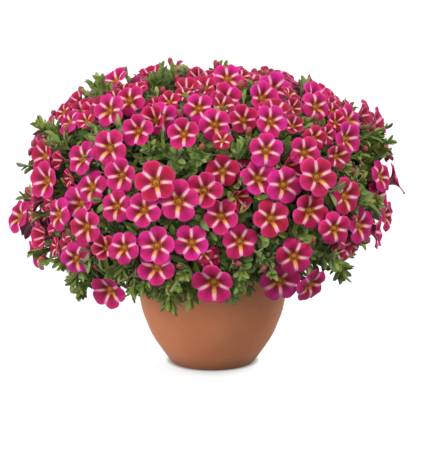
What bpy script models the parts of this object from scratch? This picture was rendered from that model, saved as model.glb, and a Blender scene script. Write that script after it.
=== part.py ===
"""A calibrachoa in a terracotta-coloured bowl pot: the pot, its potting mix, leafy stems and flower sprays.

Metres, +Z up, seen from -Y. The origin is the middle of the pot's flat foot.
"""

import itertools
import math
import random

import bmesh
import bpy
from mathutils import Matrix, Vector
from mathutils.bvhtree import BVHTree

UP = Vector((0, 0, 1))
GAP = 0.0003
MERGE = 1e-6
FLAT_ANGLE = 0.004
SHORT_EDGE = 0.0004
SEED = 7

# Pot and potting mix
POT_SIDES = 32
POT_OUTSIDE = (
    (0.0338, 0.0), (0.0428, 0.0130), (0.0490, 0.0230), (0.0532, 0.0330), (0.0568, 0.0430),
    (0.0603, 0.0640), (0.0624, 0.0900),
)
POT_RIM = ((0.0614, 0.0920), (0.0588, 0.0920))
POT_INSIDE = ((0.0560, 0.0640), (0.0500, 0.0360), (0.0400, 0.0160), (0.0300, 0.0060))
POT_FLOOR = 0.0060
DRAIN_HOLES = 4
DRAIN_SIDES = 8
DRAIN_RADIUS = 0.0040
DRAIN_FROM_AXIS = 0.0190
MIX_LEVEL = 0.0840
MIX_CROWN = 0.0020

# The mound of foliage and blooms: a boxy dome round the waist, hanging a little over the rim below it
MOUND_RADIUS = 0.148
MOUND_WAIST = 0.118
MOUND_RISE = 0.117
SKIRT_DROP = 0.037
SKIRT_SWAY = 0.013
BOXINESS = 2.9
MOUND_MIDDLE = Vector((0, 0, MOUND_WAIST))

# Leafy stems, in tiers: how many, the turn of the first one, how high its bush looks from the mound's middle,
# and the radius of their ring of holes
BUSH_DEPTH = 0.029
BUSH_GAP = 0.003
BUSH_SIDES = 20
BUSH_BANDS = 8
BUSH_SQUASH = 0.8
SMALL_FACE = 1.2e-4
OUTER_FACING = 0.7
TUFT_HEIGHT = (0.004, 0.008)
TUFT_SLANT = 0.004
HOLLOW = 0.055
SEAT_REACH = 0.1
TIERS = (
    (4, 0.70, math.radians(62), 0.009),
    (7, 0.20, math.radians(32), 0.024),
    (7, 0.65, math.radians(-8), 0.043),
)
STEM_SIDES = 5
STEM_RADIUS = 0.0022
STEM_FLAT = Vector((1, 0.3, 0)).normalized()
STEM_DEPTH = 0.0090
STEM_SUNK = 0.0060

# Leaves
LEAF_SPOTS = 3000
MOST_LEAVES = 245
LEAF_LENGTH = (0.024, 0.034)
LEAF_WIDTH = (0.0105, 0.0140)
LEAF_THICKNESS = 0.0008
LEAF_SUNK = 0.0032
LEAF_FOLD = 0.16
LEAF_CLEARANCE = 0.0009
LEAF_TRIES = 8
LEAF_SPACING = 0.0115
LEAF_RISE = 0.35
LEAF_WIDEST = 0.58
LEAF_WANDER = 0.03
LEAF_LEAN = (math.radians(10), math.radians(65))
LEAF_LIFT = 0.5
LEAF_TURN = 0.5

# Blooms
BLOOM_RADIUS = (0.0143, 0.0168)
BLOOM_THICKNESS = 0.0011
NOTCH = 0.74
UNDERSIDE = 0.96
LOBES = 5
LOBE_SHOULDER = math.radians(11.5)
THROAT_DEPTH = 0.0036
TUBE_TOP = 0.0062
TUBE_RADIUS = 0.0022
TUBE_SIDES = 3
HUB_RADIUS = 0.0030
HUB_SIDES = 5
HUB_HEIGHTS = (0.0056, 0.0080, 0.0110, 0.0140)
SPRAYS = 40
SPRAY_TRIES = 4
MOST_IN_SPRAY = 4
BLOOM_SPACING = 0.0300
FILL_SPACING = 0.0330
FILL_SPOTS = 2400
SPREAD_ROUNDS = 60
SPREAD_PUSH = 0.3
LOWEST_FACING = -0.62
POT_REACH = 0.085
POT_REACH_TOP = 0.1
BLOOM_LIFT = 0.38
BLOOM_SPLAY = 0.16
BLOOM_TILT = 0.17
BLOOM_SINK = 0.006
BLOOM_TRIES = 24
BLOOM_SHRINK = 0.01
BLOOM_YIELD = 0.08
LEAST_STRAIGHT = 0.5
HEAD_TUBE = 0.002

# Where the photograph shows blooms, in its pixels, and how it is seen
PIXEL = 0.0008
PICTURE_AXIS = 212.5
PICTURE_GROUND = 361.0
HIDDEN_FROM_X = 246
HIDDEN_ABOVE_Y = 128
VIEW_ELEVATION = math.radians(12)
VIEW_DISTANCE = 1.8
SIGHT_START = VIEW_DISTANCE - 0.2
SIGHT_STEP = 0.0005
SIGHT_STEPS = 800
SEEN_FACING = -0.10
BLOOMS_SEEN = (
    (138, 82), (129, 100), (109, 111), (114, 78), (83, 95), (68, 121), (138, 131), (161, 118),
    (184, 135), (199, 108), (186, 68), (199, 86), (107, 149), (81, 158), (41, 156), (45, 181),
    (83, 183), (71, 200), (121, 176), (156, 183), (114, 206), (144, 211), (178, 201), (203, 191),
    (222, 171), (192, 244), (86, 228), (35, 216), (18, 216), (30, 236), (57, 215), (36, 254),
    (76, 260), (124, 249), (157, 247), (154, 268), (109, 292), (214, 285), (226, 98), (215, 125),
    (244, 119), (208, 74), (228, 78), (272, 122), (267, 151), (306, 153), (348, 139), (261, 178),
    (286, 186), (318, 178), (347, 197), (384, 176), (385, 196), (221, 217), (273, 219), (313, 213),
    (335, 230), (362, 226), (240, 243), (295, 258), (281, 284), (313, 287),
)

POT_COLOUR = (0.42, 0.155, 0.075)
MIX_COLOUR = (0.030, 0.018, 0.012)
LEAF_COLOUR = (0.060, 0.130, 0.025)
PETAL_COLOUR = (0.70, 0.012, 0.20)
POT_ROUGHNESS = 0.55
MIX_ROUGHNESS = 0.95
PLANT_ROUGHNESS = 0.6


def lerp(low, high, share):
    return low + (high - low) * share


def polar(radius, turn, height):
    return Vector((radius * math.cos(turn), radius * math.sin(turn), height))


def jitter(draw):
    return Vector([draw.uniform(-1, 1) for _ in range(3)])


def clear_scene():
    for thing in list(bpy.data.objects):
        bpy.data.objects.remove(thing, do_unlink=True)


def new_object(name, bm):
    """An object of the scene that holds the given mesh."""
    mesh = bpy.data.meshes.new(name)
    bmesh.ops.recalc_face_normals(bm, faces=bm.faces)
    bm.to_mesh(mesh)
    bm.free()
    made = bpy.data.objects.new(name, mesh)
    bpy.context.scene.collection.objects.link(made)
    return made


def coloured(thing, colour, roughness):
    material = bpy.data.materials.new(thing.name)
    material.use_nodes = True
    shader = material.node_tree.nodes["Principled BSDF"]
    shader.inputs["Base Color"].default_value = (*colour, 1)
    shader.inputs["Roughness"].default_value = roughness
    shader.inputs["Metallic"].default_value = 0
    thing.data.materials.clear()
    thing.data.materials.append(material)


def flatten(mesh):
    """Takes out the points that a Boolean leaves on flat faces, if that keeps the mesh closed."""
    bm = bmesh.new()
    bm.from_mesh(mesh)
    bmesh.ops.dissolve_limit(bm, angle_limit=FLAT_ANGLE, verts=bm.verts, edges=bm.edges)
    bmesh.ops.triangulate(bm, faces=bm.faces)
    if all(len(edge.link_faces) == 2 for edge in bm.edges):
        bm.to_mesh(mesh)
    bm.free()


def joined(thing, others, operation):
    """Applies one Boolean of all the others to the thing, and removes them."""
    group = bpy.data.collections.new(thing.name + "_others")
    bpy.context.scene.collection.children.link(group)
    for other in others:
        bpy.context.scene.collection.objects.unlink(other)
        group.objects.link(other)
    boolean = thing.modifiers.new(operation.title(), "BOOLEAN")
    boolean.operation = operation
    boolean.operand_type = "COLLECTION"
    boolean.collection = group
    boolean.solver = "EXACT"
    bpy.context.view_layer.update()
    graph = bpy.context.evaluated_depsgraph_get()
    mesh = bpy.data.meshes.new_from_object(thing.evaluated_get(graph))
    thing.modifiers.clear()
    flatten(mesh)
    thing.data = mesh
    for other in others:
        bpy.data.objects.remove(other, do_unlink=True)
    bpy.data.collections.remove(group)


def turned(name, profile):
    """A closed body turned about +Z from (radius, height) points that start and end on the axis."""
    bm = bmesh.new()
    verts = [bm.verts.new((radius, 0, height)) for radius, height in profile]
    edges = [bm.edges.new(pair) for pair in zip(verts, verts[1:])]
    bmesh.ops.spin(
        bm, geom=verts + edges, cent=(0, 0, 0), axis=UP, angle=math.tau, steps=POT_SIDES, use_merge=True
    )
    bmesh.ops.remove_doubles(bm, verts=bm.verts, dist=MERGE)
    return new_object(name, bm)


def ring(bm, middle, along, radius, sides, first=None):
    """A ring of vertices round a direction, turned towards the first sideways direction."""
    first = first or along.orthogonal()
    sideways = (first - along * first.dot(along)).normalized()
    across = along.cross(sideways)
    turns = [math.tau * i / sides for i in range(sides)]
    spokes = [math.cos(turn) * sideways + math.sin(turn) * across for turn in turns]
    return [bm.verts.new(middle + radius * spoke) for spoke in spokes]


def bridge(bm, first, second):
    """Quads between two rings of the same count."""
    count = len(first)
    for i in range(count):
        after = (i + 1) % count
        bm.faces.new((first[i], first[after], second[after], second[i]))


def bridge_uneven(bm, many, few):
    """Triangles between two rings of different counts that start at about the same turn."""
    i = j = 0
    while i < len(many) or j < len(few):
        first, second = many[i % len(many)], few[j % len(few)]
        if (i + 1) / len(many) <= (j + 1) / len(few):
            i += 1
            bm.faces.new((first, many[i % len(many)], second))
        else:
            j += 1
            bm.faces.new((first, few[j % len(few)], second))


def tube(name, points, radii, sides, first):
    """A closed tube through the points."""
    bm = bmesh.new()
    rings = []
    for i, point in enumerate(points):
        before = points[max(i - 1, 0)]
        after = points[min(i + 1, len(points) - 1)]
        rings.append(ring(bm, point, (after - before).normalized(), radii[i], sides, first))
    for low, high in zip(rings, rings[1:]):
        bridge(bm, low, high)
    bm.faces.new(rings[0])
    bm.faces.new(rings[-1])
    return new_object(name, bm)


# Pot


def make_pot():
    profile = [(0, 0), *POT_OUTSIDE, *POT_RIM, *POT_INSIDE, (0, POT_FLOOR)]
    pot = turned("pot", profile)
    drills = []
    for i in range(DRAIN_HOLES):
        foot = polar(DRAIN_FROM_AXIS, math.tau * (i + 0.5) / DRAIN_HOLES, -POT_FLOOR)
        top = foot + UP * 3 * POT_FLOOR
        drills.append(tube("drill", [foot, top], [DRAIN_RADIUS] * 2, DRAIN_SIDES, Vector((1, 0, 0))))
    joined(pot, drills, "DIFFERENCE")
    coloured(pot, POT_COLOUR, POT_ROUGHNESS)
    return pot


def make_mix(stem_feet):
    """The mix follows the pot's inside at a small gap, and has a hole for each stem."""
    inside = [(radius - GAP, height) for radius, height in POT_INSIDE if height < MIX_LEVEL]
    (low_r, low_z), (high_r, high_z) = POT_INSIDE[0], POT_RIM[-1]
    edge = lerp(low_r, high_r, (MIX_LEVEL - low_z) / (high_z - low_z)) - GAP
    floor = POT_FLOOR + GAP
    wall = [(radius, max(height, floor)) for radius, height in inside]
    profile = [(0, MIX_LEVEL + MIX_CROWN), (edge, MIX_LEVEL), *wall, (0, floor)]
    mix = turned("potting_mix", profile)
    hole_radius = STEM_RADIUS + GAP / math.cos(math.pi / STEM_SIDES)
    drills = []
    for foot in stem_feet:
        low = foot - UP * GAP
        high = foot + UP * (STEM_DEPTH + 3 * MIX_CROWN)
        drills.append(tube("drill", [low, high], [hole_radius] * 2, STEM_SIDES, STEM_FLAT))
    joined(mix, drills, "DIFFERENCE")
    coloured(mix, MIX_COLOUR, MIX_ROUGHNESS)
    return mix


# The mound's surface


def mound_axes(point, inset):
    """The mound's half axes (across, upright) on the side where the point is."""
    turn = math.atan2(point.y, point.x)
    skirt = SKIRT_DROP + SKIRT_SWAY * (1 - math.cos(turn)) / 2
    upright = MOUND_RISE if point.z >= MOUND_WAIST else skirt
    return MOUND_RADIUS - inset, upright - inset


def mound_share(point, inset=0.0):
    """1 on the mound's surface, and in proportion to the distance from its middle elsewhere."""
    across, upright = mound_axes(point, inset)
    level = (math.hypot(point.x, point.y) / across) ** BOXINESS
    level += (abs(point.z - MOUND_WAIST) / upright) ** BOXINESS
    return level ** (1 / BOXINESS)


def onto_mound(point, inset=0.0):
    return MOUND_MIDDLE + (point - MOUND_MIDDLE) / mound_share(point, inset)


def mound_normal(point):
    step = 1e-5
    slopes = [
        mound_share(point + axis * step) - mound_share(point - axis * step)
        for axis in (Vector((1, 0, 0)), Vector((0, 1, 0)), UP)
    ]
    return Vector(slopes).normalized()


def even_directions(count):
    """Directions spread evenly over a sphere by the golden angle, from the top down."""
    golden = math.pi * (3 - math.sqrt(5))
    for i in range(count):
        height = 1 - 2 * (i + 0.5) / count
        yield polar(math.sqrt(1 - height * height), golden * i, height)


# Leafy stems


def mound_body():
    """The closed body that the bushes are cut from: the mound less the depth of its blooms."""
    bm = bmesh.new()
    rings = []
    for band in range(1, BUSH_BANDS):
        slant = math.pi * (band / BUSH_BANDS - 0.5)
        points = []
        for side in range(BUSH_SIDES):
            turn = math.tau * (side + 0.5) / BUSH_SIDES
            direction = polar(math.cos(slant), turn, BUSH_SQUASH * math.sin(slant))
            points.append(bm.verts.new(onto_mound(MOUND_MIDDLE + direction, BUSH_DEPTH)))
        rings.append(points)
    for low, high in zip(rings, rings[1:]):
        bridge(bm, low, high)
    bm.faces.new(rings[0])
    bm.faces.new(rings[-1])
    bmesh.ops.triangulate(bm, faces=bm.faces)
    bmesh.ops.recalc_face_normals(bm, faces=bm.faces)
    return bm


def bush_seats():
    """(seat of the bush, foot of its stem) of each leafy stem."""
    seats = []
    for count, first, rise, hole_ring in TIERS:
        for i in range(count):
            turn = first + math.tau * i / count
            seat = MOUND_MIDDLE + SEAT_REACH * polar(math.cos(rise), turn, math.sin(rise))
            seats.append((seat, polar(hole_ring, turn, MIX_LEVEL - STEM_DEPTH)))
    return seats


def cut_off(bm, point, normal):
    """Cuts away what lies beyond a plane and closes the cut."""
    geometry = bm.verts[:] + bm.edges[:] + bm.faces[:]
    cut = bmesh.ops.bisect_plane(
        bm, geom=geometry, dist=MERGE, plane_co=point, plane_no=normal, clear_outer=True
    )["geom_cut"]
    edges = [item for item in cut if isinstance(item, bmesh.types.BMEdge)]
    if edges:
        bmesh.ops.holes_fill(bm, edges=edges)


def roughen(bm, draw):
    """Raises a slanted point on each outer face, as the twigs and small leaves of the bush do."""
    outer = []
    for face in bm.faces:
        outward = face.normal.dot(mound_normal(face.calc_center_median()))
        if outward > OUTER_FACING and face.calc_area() > SMALL_FACE:
            outer.append(face)
    for vertex in bmesh.ops.poke(bm, faces=outer)["verts"]:
        slant = jitter(draw) * TUFT_SLANT
        vertex.co += vertex.normal * draw.uniform(*TUFT_HEIGHT) + slant


def make_bush(name, seat, seats, draw):
    """The bush of twigs that one stem carries: the part of the mound's body nearest to its seat.

    Returns it with the middle of its inner face, where its stem enters.
    """
    bm = mound_body()
    for other, _ in seats:
        if other == seat:
            continue
        apart = (other - seat).normalized()
        cut_off(bm, (seat + other) / 2 - apart * BUSH_GAP / 2, apart)
    inward = (MOUND_MIDDLE - seat).normalized()
    cut_off(bm, MOUND_MIDDLE - inward * HOLLOW, inward)
    bmesh.ops.dissolve_limit(bm, angle_limit=FLAT_ANGLE, verts=bm.verts, edges=bm.edges)
    bmesh.ops.remove_doubles(bm, verts=bm.verts, dist=SHORT_EDGE)
    bm.normal_update()
    inner = max(bm.faces, key=lambda face: face.normal.dot(inward))
    entry = inner.calc_center_median()
    bmesh.ops.triangulate(bm, faces=bm.faces)
    roughen(bm, draw)
    return new_object(name, bm), entry


def make_stem(seat, foot, entry):
    """The stem from the bottom of its hole into its bush."""
    inward = (MOUND_MIDDLE - seat).normalized()
    end = entry - inward * STEM_SUNK
    above = foot + UP * (STEM_DEPTH + STEM_SUNK)
    approach = entry + inward * STEM_SUNK
    points = [foot, above, approach, end]
    return tube("stem", points, [STEM_RADIUS] * len(points), STEM_SIDES, STEM_FLAT)


# Flower sprays


def seen_site(pixel_x, pixel_y):
    """Where the line of sight through a pixel meets the mound, or comes nearest to it."""
    right = Vector((1, 0, 0))
    back = Vector((0, math.cos(VIEW_ELEVATION), -math.sin(VIEW_ELEVATION)))
    picture_up = right.cross(back)
    eye = MOUND_MIDDLE - back * VIEW_DISTANCE
    across = (pixel_x - PICTURE_AXIS) * PIXEL
    rise = (PICTURE_GROUND - pixel_y) * PIXEL - MOUND_MIDDLE.dot(picture_up)
    sight = (MOUND_MIDDLE + right * across + picture_up * rise - eye).normalized()
    nearest, point = math.inf, None
    for step in range(SIGHT_STEPS):
        tried = eye + sight * (SIGHT_START + SIGHT_STEP * step)
        share = mound_share(tried)
        if share < nearest:
            nearest, point = share, tried
        if share <= 1:
            break
    return onto_mound(point)


def in_view(site):
    """Whether the photograph shows this part of the mound."""
    back = Vector((0, math.cos(VIEW_ELEVATION), -math.sin(VIEW_ELEVATION)))
    rise = site.dot(Vector((1, 0, 0)).cross(back))
    hidden = site.x > (HIDDEN_FROM_X - PICTURE_AXIS) * PIXEL
    hidden = hidden and rise > (PICTURE_GROUND - HIDDEN_ABOVE_Y) * PIXEL
    return mound_normal(site).dot(back) < SEEN_FACING and not hidden


def bears_bloom(site):
    """No bloom faces down on the pot or touches it."""
    beside_pot = site.z < POT_REACH_TOP and math.hypot(site.x, site.y) < POT_REACH
    return mound_normal(site).z > LOWEST_FACING and not beside_pot


def spread(sites, spacing):
    """Moves sites apart along the mound until neighbours are about the spacing apart."""
    for _ in range(SPREAD_ROUNDS):
        for i, first in enumerate(sites):
            for j in range(i):
                apart = first - sites[j]
                short = spacing - apart.length
                if short > 0:
                    push = apart.normalized() * short * SPREAD_PUSH
                    sites[i] = first = onto_mound(first + push)
                    sites[j] = onto_mound(sites[j] - push)
    return sites


def bloom_sites():
    """The blooms that the photograph shows, then as many round the rest of the mound by an even rule."""
    sites = [seen_site(*pixel) for pixel in BLOOMS_SEEN]
    for direction in even_directions(FILL_SPOTS):
        site = onto_mound(MOUND_MIDDLE + direction)
        if in_view(site) or not bears_bloom(site):
            continue
        if all((site - other).length > FILL_SPACING for other in sites):
            sites.append(site)
    return spread(sites, BLOOM_SPACING)


def clear_of(shape, trees):
    return not any(shape.overlap(tree) for tree in trees)


def spray_groups(sites):
    """The sites in groups of neighbours, one for each spray."""
    groups = [[site] for site in sites]
    while len(groups) > SPRAYS:
        best, pair = math.inf, None
        for i, first in enumerate(groups):
            for j in range(i):
                both = first + groups[j]
                if len(both) > MOST_IN_SPRAY:
                    continue
                width = max((a - b).length for a in both for b in both)
                if width < best:
                    best, pair = width, (i, j)
        i, j = pair
        groups[j] += groups.pop(i)
    return groups


def corolla(bm, centre, facing, spin, radius):
    """One bloom: five notched lobes round a shallow throat. Returns the open ring at the top of its tube."""
    sideways = facing.orthogonal().normalized()
    sideways.rotate(Matrix.Rotation(spin, 3, facing))
    across = facing.cross(sideways)

    def at(distance, turn, height):
        spoke = math.cos(turn) * sideways + math.sin(turn) * across
        return bm.verts.new(centre + distance * spoke + facing * height)

    apex = at(0, 0, -THROAT_DEPTH)
    tops, lows = [], []
    for lobe in range(LOBES):
        notch = math.tau * lobe / LOBES
        middle = notch + math.pi / LOBES
        tops.append(at(NOTCH * radius, notch, 0))
        tops.append(at(radius, middle - LOBE_SHOULDER, 0))
        tops.append(at(radius, middle + LOBE_SHOULDER, 0))
        lows.append(at(UNDERSIDE * radius, middle, -BLOOM_THICKNESS))
    for i in range(len(tops)):
        bm.faces.new((apex, tops[i], tops[(i + 1) % len(tops)]))
    for lobe in range(LOBES):
        notch, left, right = tops[3 * lobe : 3 * lobe + 3]
        after = tops[(3 * lobe + 3) % len(tops)]
        low, low_after = lows[lobe], lows[(lobe + 1) % LOBES]
        for first, second in ((notch, left), (left, right), (right, after)):
            bm.faces.new((first, low, second))
        bm.faces.new((after, low, low_after))
    turns = [math.pi / LOBES + math.tau * side / TUBE_SIDES for side in range(TUBE_SIDES)]
    tube_top = [at(TUBE_RADIUS, turn, -TUBE_TOP) for turn in turns]
    bridge_uneven(bm, lows, tube_top)
    return tube_top


def join_tube(bm, tube_top, foot_ring):
    """Runs a bloom's tube to its foot, by the pairing of corners that twists it least."""
    count = len(tube_top)
    pairings = [[foot_ring[(i + shift) % count] for i in range(count)] for shift in range(count)]
    feet = min(pairings, key=lambda ring: sum((a.co - b.co).length for a, b in zip(tube_top, ring)))
    for i in range(count):
        after = (i + 1) % count
        bm.faces.new((tube_top[i], tube_top[after], feet[after]))
        bm.faces.new((tube_top[i], feet[after], feet[i]))


def spray_mesh(tip, along, height, blooms):
    """The blooms' tubes grow from the upper faces of a small knot, whose tip is just over the leafy stem."""
    bm = bmesh.new()
    belt = ring(bm, tip + along * height / 2, along, HUB_RADIUS, HUB_SIDES)
    low_end, high_end = bm.verts.new(tip), bm.verts.new(tip + along * height)
    pairs = [(belt[i], belt[(i + 1) % HUB_SIDES]) for i in range(HUB_SIDES)]
    for first, second in pairs:
        bm.faces.new((second, first, low_end))
    faces = [(first, second, high_end) for first, second in pairs]
    outward = [(sum((corner.co for corner in face), Vector()) / 3 - tip).normalized() for face in faces]
    ways = [(bloom[0] - tip).normalized() for bloom in blooms]
    chosen = max(
        itertools.permutations(range(HUB_SIDES), len(blooms)),
        key=lambda order: sum(outward[face].dot(way) for face, way in zip(order, ways)),
    )
    for face, bloom in zip(chosen, blooms):
        join_tube(bm, corolla(bm, *bloom), faces[face])
    for i, face in enumerate(faces):
        if i not in chosen:
            bm.faces.new(face)
    return bm


def crosses_itself(bm):
    """Whether two faces that share no corner meet."""
    tree = BVHTree.FromBMesh(bm)
    bm.faces.ensure_lookup_table()
    corners = [set(face.verts) for face in bm.faces]
    return any(a < b and not corners[a] & corners[b] for a, b in tree.overlap(tree))


def group_middle(group):
    return onto_mound(sum(group, Vector()) / len(group))


def draw_bloom(site, middle, attempt, draw):
    """(centre, facing, spin, radius) of a bloom that faces out and a little away from its spray's middle."""
    surface = mound_normal(site)
    facing = surface + UP * BLOOM_LIFT * (1 - abs(surface.z))
    facing += BLOOM_SPLAY * (1 + BLOOM_YIELD * attempt) * (site - middle) / BLOOM_SPACING
    facing += BLOOM_TILT * jitter(draw)
    radius = draw.uniform(*BLOOM_RADIUS) * (1 - BLOOM_SHRINK * attempt)
    centre = site + surface * draw.uniform(-BLOOM_SINK, BLOOM_SINK / 2)
    return centre, facing.normalized(), draw.uniform(0, math.tau), radius


def bloom_tree(bloom, foot):
    bm = bmesh.new()
    tube_top = corolla(bm, *bloom)
    along = (bloom[0] - foot).normalized()
    join_tube(bm, tube_top, ring(bm, foot, along, HUB_RADIUS / 2, TUBE_SIDES))
    tree = BVHTree.FromBMesh(bm)
    bm.free()
    return tree


def plan_blooms(group, foot, heads, stalks, draw):
    """Blooms of one spray, each drawn again and a little smaller while it crosses what is there, or None."""
    middle = group_middle(group)
    blooms, own_heads, own_stalks = [], [], []
    for site in group:
        for attempt in range(BLOOM_TRIES):
            bloom = draw_bloom(site, middle, attempt, draw)
            neck = bloom[0] - bloom[1] * TUBE_TOP
            head = bloom_tree(bloom, neck - bloom[1] * HEAD_TUBE)
            stalk = bloom_tree(bloom, foot)
            straight = (neck - foot).normalized().dot(bloom[1]) > LEAST_STRAIGHT
            if straight and clear_of(head, heads + own_heads) and clear_of(stalk, stalks):
                break
        else:
            return None
        blooms.append(bloom)
        own_heads.append(head)
        own_stalks.append(stalk)
    return blooms, own_heads, own_stalks


def make_sprays(groups, bushes, draw):
    """Each spray is seated on the bush under its middle and is clear of the sprays before it."""
    sprays, heads, stalks = [], [], [bushes]
    for i, group in enumerate(groups):
        seat, _, _, _ = bushes.find_nearest(group_middle(group))
        outward = (group_middle(group) - seat).normalized()
        for height in HUB_HEIGHTS * SPRAY_TRIES:
            plan = plan_blooms(group, seat + outward * (GAP + height / 2), heads, stalks, draw)
            if not plan:
                continue
            blooms, own_heads, own_stalks = plan
            bm = spray_mesh(seat + outward * GAP, outward, height, blooms)
            if not crosses_itself(bm):
                break
            bm.free()
        heads += own_heads
        stalks += own_stalks
        spray = new_object(f"flower_spray_{i + 1:02d}", bm)
        coloured(spray, PETAL_COLOUR, PLANT_ROUGHNESS)
        sprays.append(spray)
    return sprays


# Leaves


def make_leaf(root, direction, facing, length, width, spare=0.0):
    """A blade folded along its midrib, from a root sunk in the bush. Spare enlarges it for a test."""
    side = direction.cross(facing).normalized()
    face = side.cross(direction).normalized()
    widest = root + direction * length * LEAF_WIDEST + face * width * LEAF_FOLD
    outline = (
        root - direction * LEAF_SUNK,
        widest - side * (width / 2 + spare),
        root + direction * (length + spare),
        widest + side * (width / 2 + spare),
    )
    half = LEAF_THICKNESS / 2 + spare
    bm = bmesh.new()
    top = [bm.verts.new(point + face * half) for point in outline]
    low = [bm.verts.new(point - face * half) for point in outline]
    for layer in (top, low):
        bm.faces.new((layer[0], layer[1], layer[2]))
        bm.faces.new((layer[0], layer[2], layer[3]))
    for i in range(4):
        after = (i + 1) % 4
        bm.faces.new((top[i], top[after], low[after]))
        bm.faces.new((top[i], low[after], low[i]))
    return bm


def tree_of(things):
    """One search tree of several objects, and which object each of its faces is from."""
    verts, faces, owners = [], [], []
    for owner, thing in enumerate(things):
        start = len(verts)
        verts += [vertex.co.copy() for vertex in thing.data.vertices]
        for polygon in thing.data.polygons:
            faces.append([start + i for i in polygon.vertices])
            owners.append(owner)
    return BVHTree.FromPolygons(verts, faces), owners


def draw_leaf(root, outward, draw):
    """(root, direction, facing, length, width) of a leaf that leans any way off the mound."""
    sideways = outward.orthogonal().normalized()
    sideways.rotate(Matrix.Rotation(draw.uniform(0, math.tau), 3, outward))
    lean = draw.uniform(*LEAF_LEAN)
    direction = outward * math.cos(lean) + sideways * math.sin(lean)
    facing = outward + UP * LEAF_LIFT + jitter(draw) * LEAF_TURN
    return root, direction, facing, draw.uniform(*LEAF_LENGTH), draw.uniform(*LEAF_WIDTH)


def fitting_leaf(root, root_normal, outward, fixed_tree, trees, draw):
    """A leaf that no spray covers and that is clear of all trees, with its own tree, or None."""
    for _ in range(LEAF_TRIES):
        leaf = draw_leaf(root, outward, draw)
        _, direction, _, length, _ = leaf
        if direction.dot(root_normal) < LEAF_RISE:
            continue
        if fixed_tree.ray_cast(root + direction * length, outward)[0]:
            continue
        tried = make_leaf(*leaf, spare=LEAF_CLEARANCE)
        blade = BVHTree.FromBMesh(tried)
        tried.free()
        if clear_of(blade, trees):
            return leaf, blade
    return None


def place_leaves(bushes, fixed, draw):
    """Leaves of each bush, rooted evenly over the mound and clear of each other and of what is there."""
    bush_tree, owners = tree_of(bushes)
    single_trees = [tree_of([bush])[0] for bush in bushes]
    fixed_tree, _ = tree_of(fixed)
    blades, roots = [], []
    leaves = [[] for _ in bushes]
    spots = list(even_directions(LEAF_SPOTS))
    draw.shuffle(spots)
    for direction in spots:
        site = onto_mound(MOUND_MIDDLE + direction + jitter(draw) * LEAF_WANDER)
        root, root_normal, index, _ = bush_tree.find_nearest(site)
        if any((root - other).length < LEAF_SPACING for other in roots):
            continue
        others = [tree for i, tree in enumerate(single_trees) if i != owners[index]]
        trees = [fixed_tree, *blades, *others]
        fitting = fitting_leaf(root, root_normal, mound_normal(site), fixed_tree, trees, draw)
        if not fitting:
            continue
        leaves[owners[index]].append(fitting[0])
        blades.append(fitting[1])
        roots.append(root)
        if len(roots) == MOST_LEAVES:
            break
    return leaves


def grow(seats, bushes, entries, leaves):
    """Fuses each bush with its stem and its leaves."""
    for bush, (seat, foot), entry, own in zip(bushes, seats, entries, leaves):
        grown = [make_stem(seat, foot, entry)]
        grown += [new_object("leaf", make_leaf(*leaf)) for leaf in own]
        joined(bush, grown, "UNION")
        coloured(bush, LEAF_COLOUR, PLANT_ROUGHNESS)


def main():
    clear_scene()
    draw = random.Random(SEED)
    seats = bush_seats()
    pot = make_pot()
    mix = make_mix([foot for _, foot in seats])
    bushes, entries = [], []
    for i, (seat, _) in enumerate(seats):
        bush, entry = make_bush(f"leafy_stem_{i + 1:02d}", seat, seats, draw)
        bushes.append(bush)
        entries.append(entry)
    bush_tree, _ = tree_of(bushes)
    sprays = make_sprays(spray_groups(bloom_sites()), bush_tree, draw)
    leaves = place_leaves(bushes, [pot, mix, *sprays], draw)
    grow(seats, bushes, entries, leaves)


main()
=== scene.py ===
"""The looks of a calibrachoa in a terracotta-coloured bowl pot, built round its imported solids.

Metres, +Z up, seen from -Y. The origin is the middle of the pot's flat foot.
"""

import math
import random
from dataclasses import dataclass

import bmesh
import bpy
from mathutils import Matrix, Vector, noise
from mathutils.bvhtree import BVHTree
from mathutils.kdtree import KDTree


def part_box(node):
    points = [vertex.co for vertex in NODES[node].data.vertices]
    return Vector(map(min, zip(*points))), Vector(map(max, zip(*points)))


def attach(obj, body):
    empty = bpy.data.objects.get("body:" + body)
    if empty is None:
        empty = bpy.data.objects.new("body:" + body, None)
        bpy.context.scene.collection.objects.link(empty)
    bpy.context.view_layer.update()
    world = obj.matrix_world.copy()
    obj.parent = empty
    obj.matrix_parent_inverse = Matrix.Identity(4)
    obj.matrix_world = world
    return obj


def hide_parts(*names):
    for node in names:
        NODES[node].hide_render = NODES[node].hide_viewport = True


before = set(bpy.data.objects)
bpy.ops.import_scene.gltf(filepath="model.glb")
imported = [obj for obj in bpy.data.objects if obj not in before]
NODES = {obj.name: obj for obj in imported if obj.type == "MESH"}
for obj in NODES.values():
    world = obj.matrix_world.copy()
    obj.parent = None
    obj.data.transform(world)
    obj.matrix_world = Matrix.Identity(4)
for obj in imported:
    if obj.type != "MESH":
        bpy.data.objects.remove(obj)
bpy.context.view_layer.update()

RIGHT = Vector((1, 0, 0))
AWAY = Vector((0, 1, 0))
UP = Vector((0, 0, 1))
MERGE = 1e-5
CLOSE = 1e-6
SEED = 11
STEM_NAMES = [f"leafy_stem_{i:02d}" for i in range(1, 19)]
SPRAY_NAMES = [f"flower_spray_{i:02d}" for i in range(1, 41)]

# How the photograph is seen: its frame, and the place of the pot's axis and foot in its pixels
PIXEL = 0.0008
PICTURE_WIDTH = 440
PICTURE_MIDDLE = (220.0, 230.5)
PICTURE_AXIS = 212.5
PICTURE_GROUND = 361.0
VIEW_ELEVATION = math.radians(12)
VIEW_DISTANCE = 1.8
SENSOR = 36.0
BACK = Vector((0, math.cos(VIEW_ELEVATION), -math.sin(VIEW_ELEVATION)))
PICTURE_UP = RIGHT.cross(BACK)

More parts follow.
